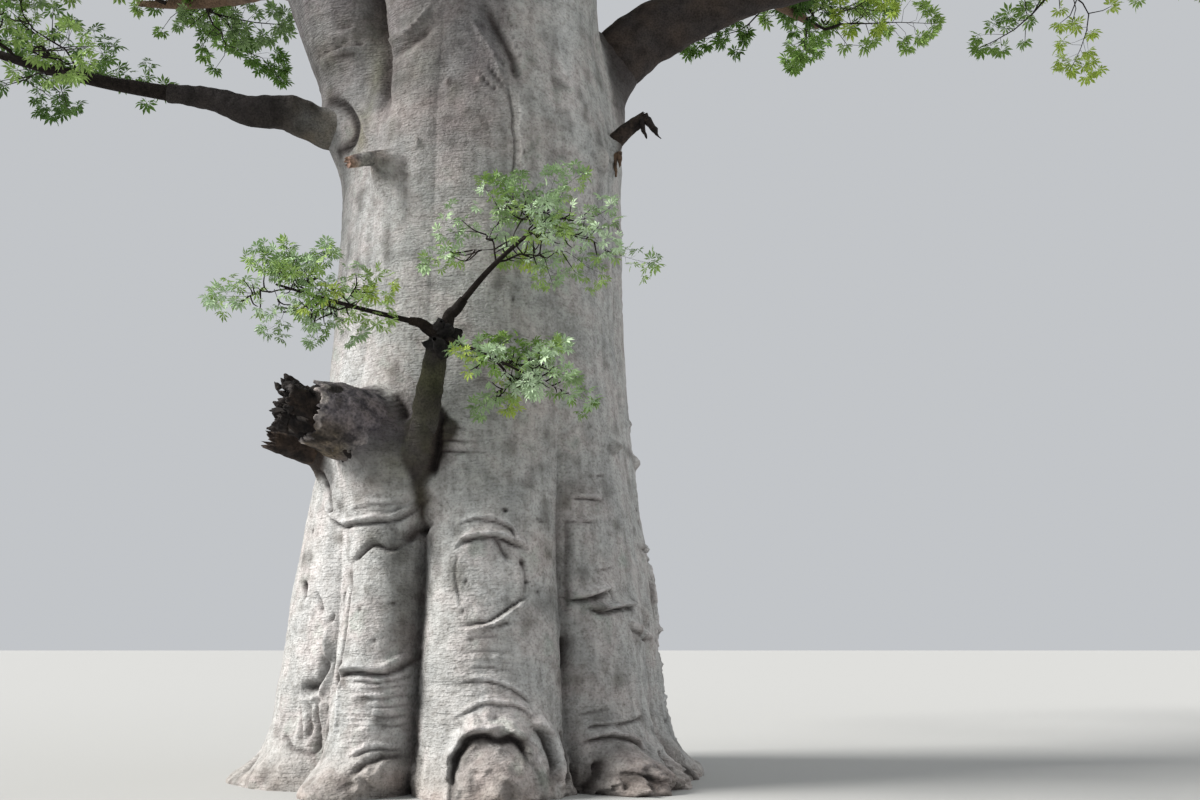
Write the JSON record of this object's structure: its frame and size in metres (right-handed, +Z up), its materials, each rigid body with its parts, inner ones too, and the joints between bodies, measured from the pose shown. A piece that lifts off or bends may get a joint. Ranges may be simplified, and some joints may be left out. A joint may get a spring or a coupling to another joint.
{
  "type": "large baobab tree in leaf",
  "caption": "Very large baobab tree with a swollen trunk of joined columns, heavy forks and boughs, a broken stump in front and separate masses of foliage.",
  "frame": {"origin": "centre of the flat cut under the trunk, at ground level", "axes": "+Z up; -Y towards the front, the side that the picture shows; +X to the right as seen from the front"},
  "size_m": [22.1777, 22.4477, 20.4403],
  "materials": {
    "bark": "smooth pinkish-grey baobab bark with folds, wrinkles and fine pits",
    "dead_wood": "weathered and charred dead wood",
    "foliage": "fresh green leaves on thin dark twigs"
  },
  "bodies": {
    "root": {"trunk": "bark", "back_fork": "bark", "bough_middle_1": "bark", "bough_middle_2": "bark", "bough_middle_3": "bark", "bough_middle_4": "bark", "bough_middle_5": "bark", "bough_middle_6": "bark", "bough_middle_7": "bark", "bough_outer_1": "bark", "bough_outer_2": "bark", "bough_outer_3": "bark", "bough_outer_4": "bark", "bough_outer_5": "bark", "bough_outer_6": "bark", "bough_outer_7": "bark", "broken_stump": "dead_wood", "crown_back_top": "foliage", "crown_front_top": "foliage", "crown_left_top": "foliage", "crown_middle_1": "foliage", "crown_middle_2": "foliage", "crown_middle_3": "foliage", "crown_middle_4": "foliage", "crown_middle_5": "foliage", "crown_middle_6": "foliage", "crown_middle_7": "foliage", "crown_outer_1": "foliage", "crown_outer_2": "foliage", "crown_outer_3": "foliage", "crown_outer_4": "foliage", "crown_outer_5": "foliage", "crown_outer_6": "foliage", "crown_outer_7": "foliage", "crown_right_top": "foliage", "dead_branch": "dead_wood", "front_bough": "bark", "front_fork": "bark", "front_limb_left": "bark", "front_limb_low": "bark", "front_limb_right": "bark", "front_spray_left": "foliage", "front_spray_low": "foliage", "front_spray_right": "foliage", "left_fork": "bark", "left_low_bough": "bark", "left_low_foliage": "foliage", "low_stub": "dead_wood", "lower_snag": "dead_wood", "right_bough": "bark", "right_bough_outer": "bark", "right_end_foliage": "foliage", "right_fork": "bark"}
  },
  "joints": []
}
